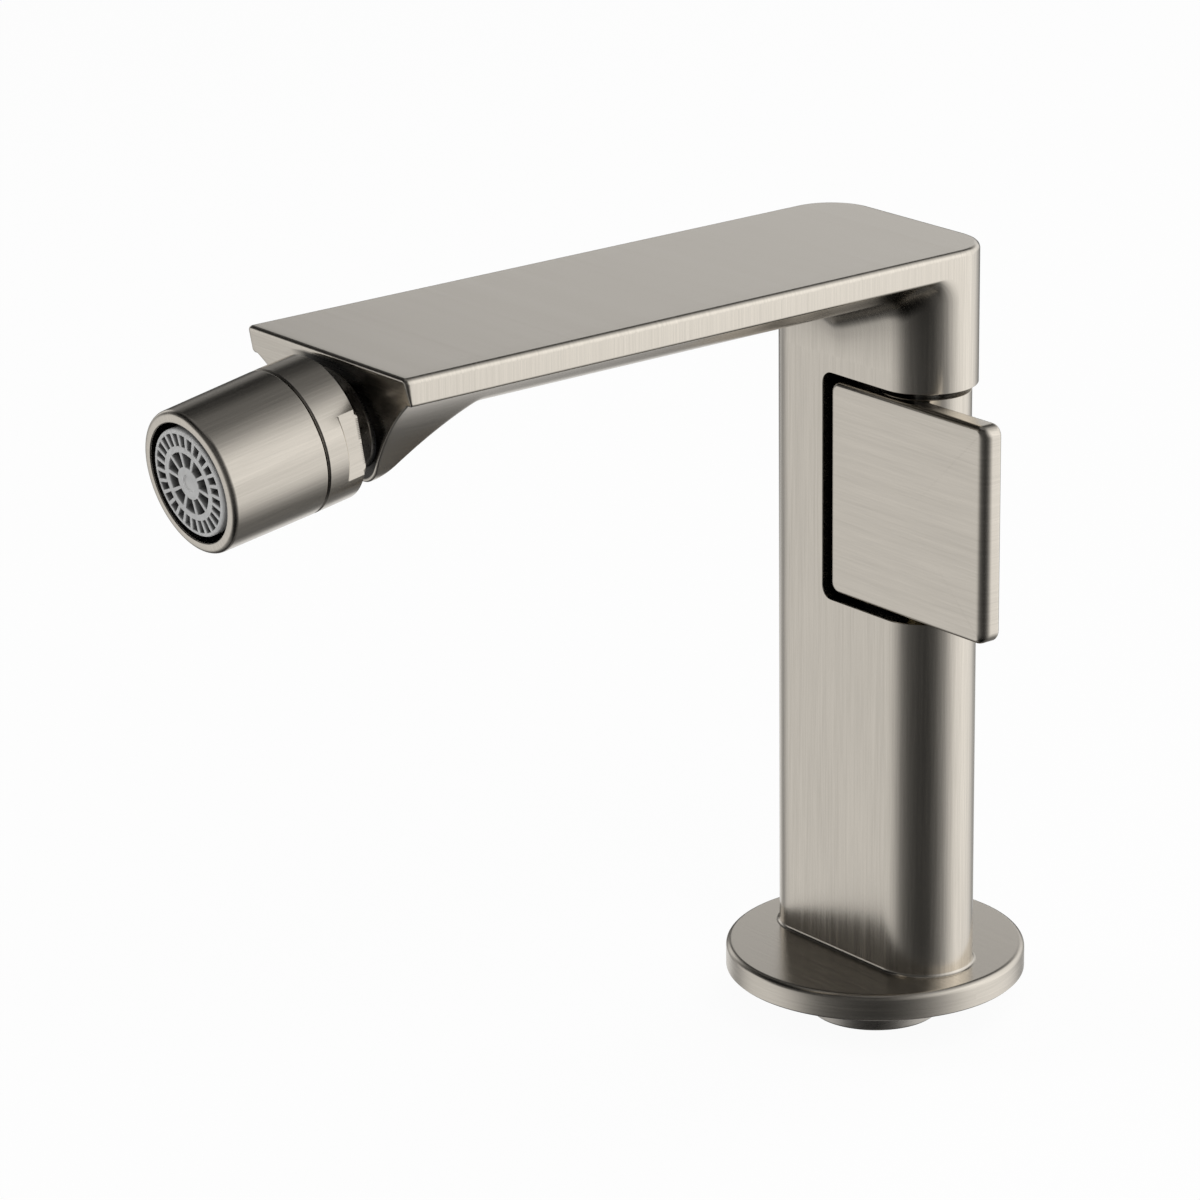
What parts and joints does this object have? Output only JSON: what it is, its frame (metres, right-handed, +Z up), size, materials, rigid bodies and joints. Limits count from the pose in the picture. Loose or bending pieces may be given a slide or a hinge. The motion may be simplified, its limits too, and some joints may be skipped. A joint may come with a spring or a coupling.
{
  "type": "bidet mixer",
  "caption": "Deck-mounted bidet mixer with a slim round-ended column, a flat square-fronted spout, a flush side lever and a swivelling ball-jointed aerator outlet, in brushed nickel.",
  "frame": {"origin": "centre of the base flange's underside, on the deck plane and on the axis of the shank", "axes": "+Z up from the deck, -Y along the spout towards the outlet, +X towards the lever"},
  "size_m": [0.0703, 0.1904, 0.1594],
  "materials": {
    "brushed_nickel": "brushed",
    "plain_nickel": "satin",
    "bare_brass": "machined",
    "screw_steel": "plain",
    "black_rubber": "matt",
    "ceramic": "lapped",
    "white_plastic": "moulded",
    "grey_plastic": "moulded",
    "dark_plastic": "moulded"
  },
  "bodies": {
    "mixer": {"body": "brushed_nickel", "base_flange": "brushed_nickel", "deck_seal": "black_rubber", "base_shank": "plain_nickel", "inlet_seal": "black_rubber", "cartridge_body": "white_plastic", "cartridge_o_rings": "black_rubber", "fixed_disc": "ceramic", "guide_bush": "bare_brass", "retaining_nut": "bare_brass", "upper_bush": "white_plastic", "ball_nipple": "plain_nickel", "nipple_gasket": "black_rubber"},
    "lever": {"lever_plate": "brushed_nickel", "lever_hub": "brushed_nickel", "plate_screws": "screw_steel", "spindle_grub_screw": "screw_steel", "spindle": "bare_brass", "spindle_o_ring": "black_rubber", "moving_disc": "ceramic", "upper_pivot_pin": "screw_steel"},
    "swivel_pan": {"rear_seat_ring": "white_plastic"},
    "swivel_tilt": {"front_seat_ring": "white_plastic"},
    "outlet": {"swivel_collar": "brushed_nickel", "outlet_housing": "brushed_nickel", "seat_o_ring": "black_rubber", "outlet_gasket": "black_rubber", "aerator_insert": "grey_plastic", "diffuser_disc": "dark_plastic", "inlet_screen": "screw_steel"}
  },
  "joints": [
    {"name": "lever_turn", "type": "hinge", "parent": "mixer", "child": "lever", "pos_m": [0.0136, 0, 0.10045], "axis": [0, 0, 1], "range_deg": [0, 90]},
    {"name": "outlet_pan", "type": "hinge", "parent": "mixer", "child": "swivel_pan", "pos_m": [0, -0.13812, 0.13582], "axis": [0, -0.165, 0.9863], "range_deg": [-10, 10]},
    {"name": "outlet_tilt", "type": "hinge", "parent": "swivel_pan", "child": "swivel_tilt", "pos_m": [0, -0.13812, 0.13582], "axis": [1, 0, 0], "range_deg": [-10, 10]},
    {"name": "outlet_spin", "type": "hinge", "parent": "swivel_tilt", "child": "outlet", "pos_m": [0, -0.13812, 0.13582], "axis": [0, -0.9863, -0.165], "continuous": true}
  ]
}
